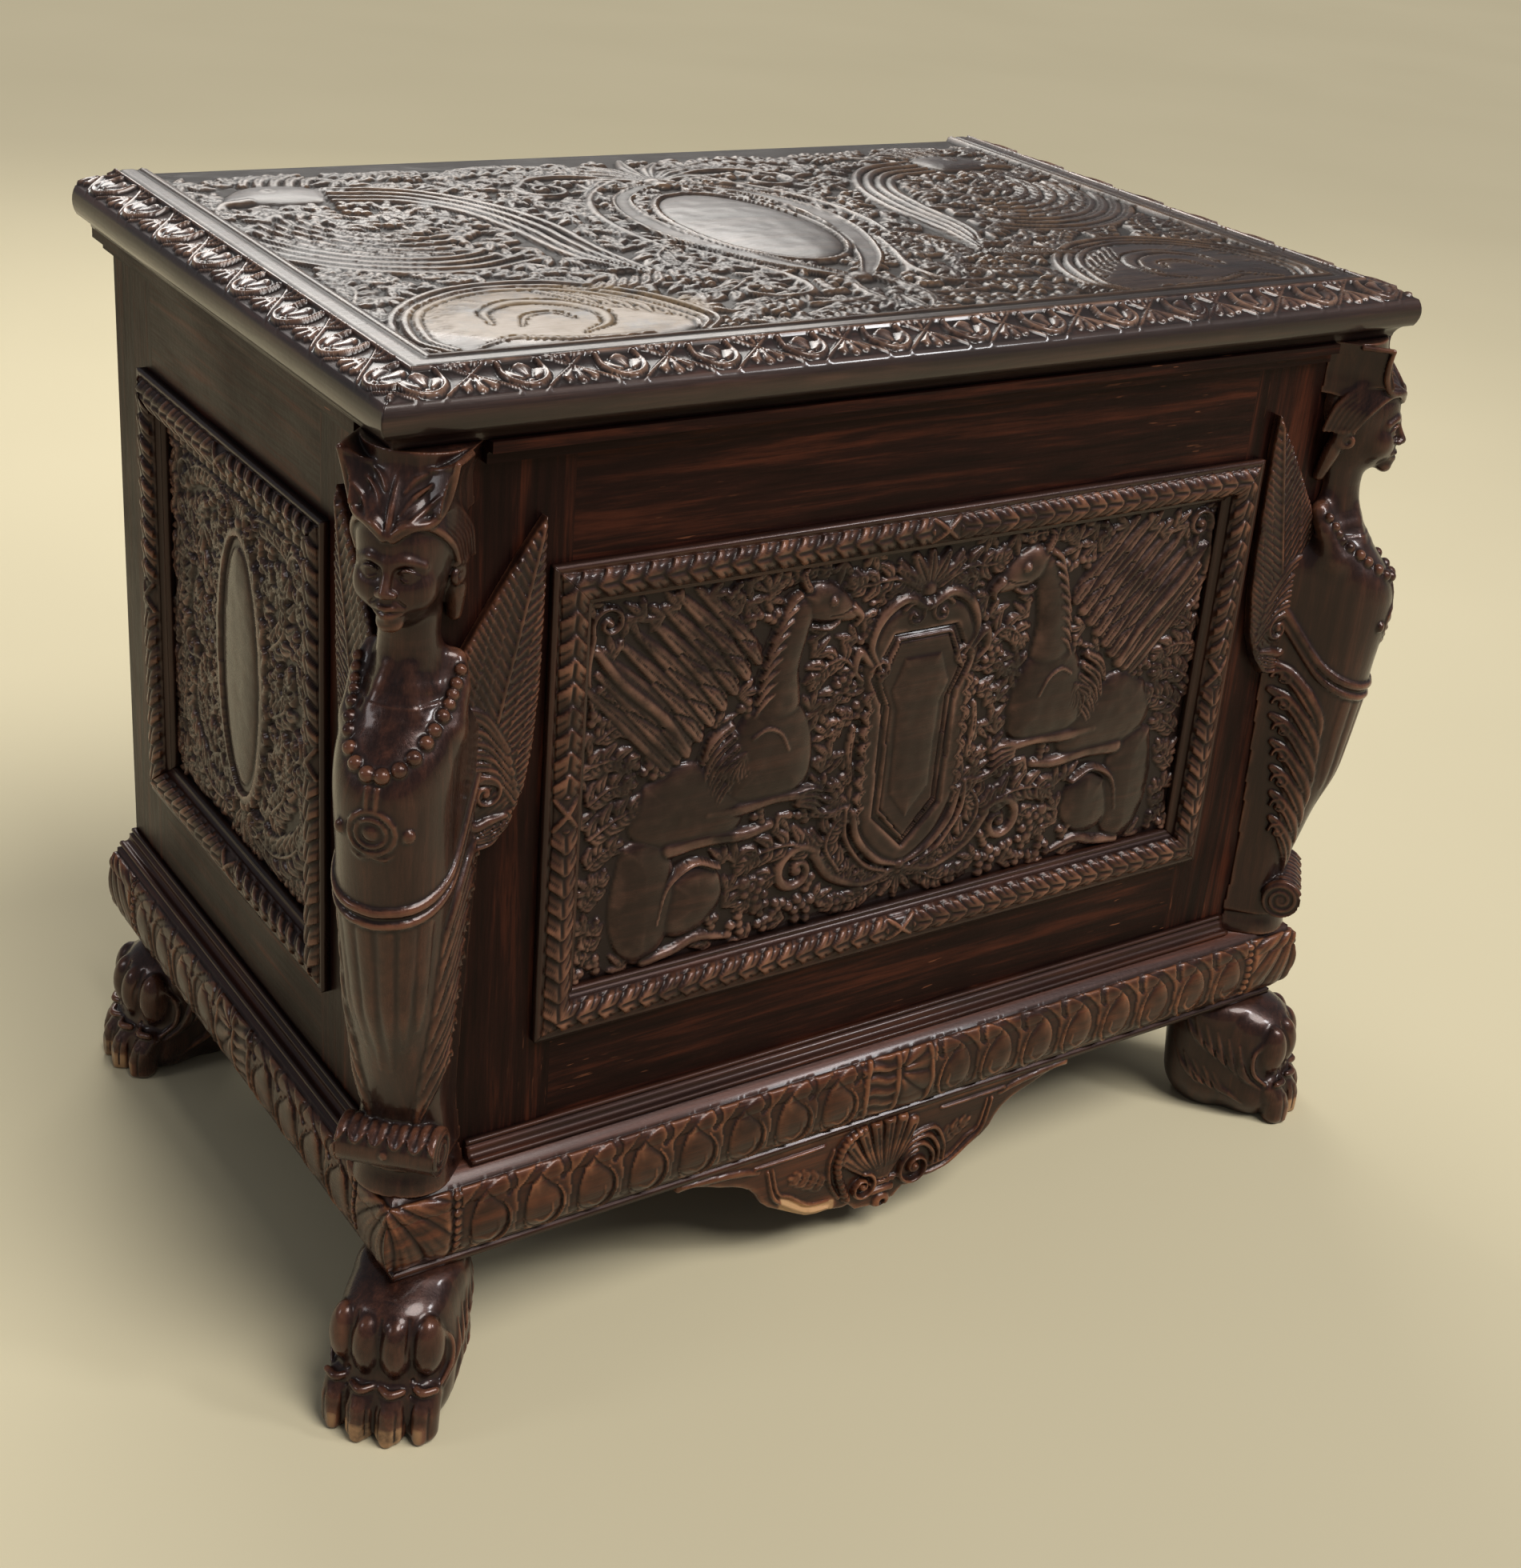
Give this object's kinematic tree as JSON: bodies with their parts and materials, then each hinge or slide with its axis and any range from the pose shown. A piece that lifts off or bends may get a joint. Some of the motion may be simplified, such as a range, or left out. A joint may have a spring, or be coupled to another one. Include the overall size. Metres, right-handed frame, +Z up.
{
  "type": "cassone",
  "caption": "Carved walnut lidded chest on lion-paw feet, with sunk relief panels, winged corner figures, a cushion-moulded base and a hinged carved lid.",
  "frame": {"origin": "middle of the floor rectangle under the whole chest, hinge knuckles and toes included", "axes": "+X to the right seen from the front, -Y out of the front, +Z up"},
  "size_m": [0.984, 0.6314, 0.791],
  "materials": {
    "lid_walnut": "polished carved walnut, worn to brown on the high parts",
    "case_walnut": "dark polished walnut",
    "carved_walnut": "carved walnut with dark ground",
    "base_walnut": "reddish brown polished carved walnut",
    "figure_walnut": "carved walnut, rubbed to reddish brown",
    "plain_inner_wood": "planed unpolished board, aged brown",
    "hinge_iron": "forged iron, dark with a little rust"
  },
  "bodies": {
    "case": {"back_lower_board": "plain_inner_wood", "back_upper_board": "plain_inner_wood", "base_back_rail": "plain_inner_wood", "base_moulding_front": "base_walnut", "base_moulding_left": "base_walnut", "base_moulding_right": "base_walnut", "base_step_front": "case_walnut", "base_step_left": "case_walnut", "base_step_right": "case_walnut", "corner_blocks": "plain_inner_wood", "floor_boards": "plain_inner_wood", "front_apron": "base_walnut", "front_bottom_rail": "case_walnut", "front_carved_panel": "carved_walnut", "front_frame_bottom": "case_walnut", "front_frame_left": "case_walnut", "front_frame_right": "case_walnut", "front_frame_top": "case_walnut", "front_left_paw": "base_walnut", "front_left_stile": "case_walnut", "front_right_paw": "base_walnut", "front_right_stile": "case_walnut", "front_top_rail": "case_walnut", "left_back_stile": "case_walnut", "left_bottom_rail": "case_walnut", "left_carved_panel": "carved_walnut", "left_frame": "case_walnut", "left_front_stile": "case_walnut", "left_front_wing": "figure_walnut", "left_hinge_case_leaf": "hinge_iron", "left_hinge_pin": "hinge_iron", "left_side_wing": "figure_walnut", "left_top_rail": "case_walnut", "rear_left_paw": "base_walnut", "rear_right_paw": "base_walnut", "right_back_stile": "case_walnut", "right_bottom_rail": "case_walnut", "right_carved_panel": "carved_walnut", "right_frame": "case_walnut", "right_front_stile": "case_walnut", "right_front_wing": "figure_walnut", "right_hinge_case_leaf": "hinge_iron", "right_hinge_pin": "hinge_iron", "right_side_wing": "figure_walnut", "right_top_rail": "case_walnut", "term_figure_left": "figure_walnut", "term_figure_right": "figure_walnut", "top_strip_front": "case_walnut", "top_strip_left": "case_walnut", "top_strip_right": "case_walnut"},
    "lid": {"left_hinge_lid_leaf": "hinge_iron", "lid_back_rail": "lid_walnut", "lid_border_front": "lid_walnut", "lid_border_left": "lid_walnut", "lid_border_right": "lid_walnut", "lid_carved_board": "lid_walnut", "right_hinge_lid_leaf": "hinge_iron"}
  },
  "joints": [
    {"name": "lid_hinge", "type": "hinge", "parent": "case", "child": "lid", "pos_m": [0, 0.3112, 0.7458], "axis": [-1, 0, 0], "range_deg": [0, 100]}
  ]
}
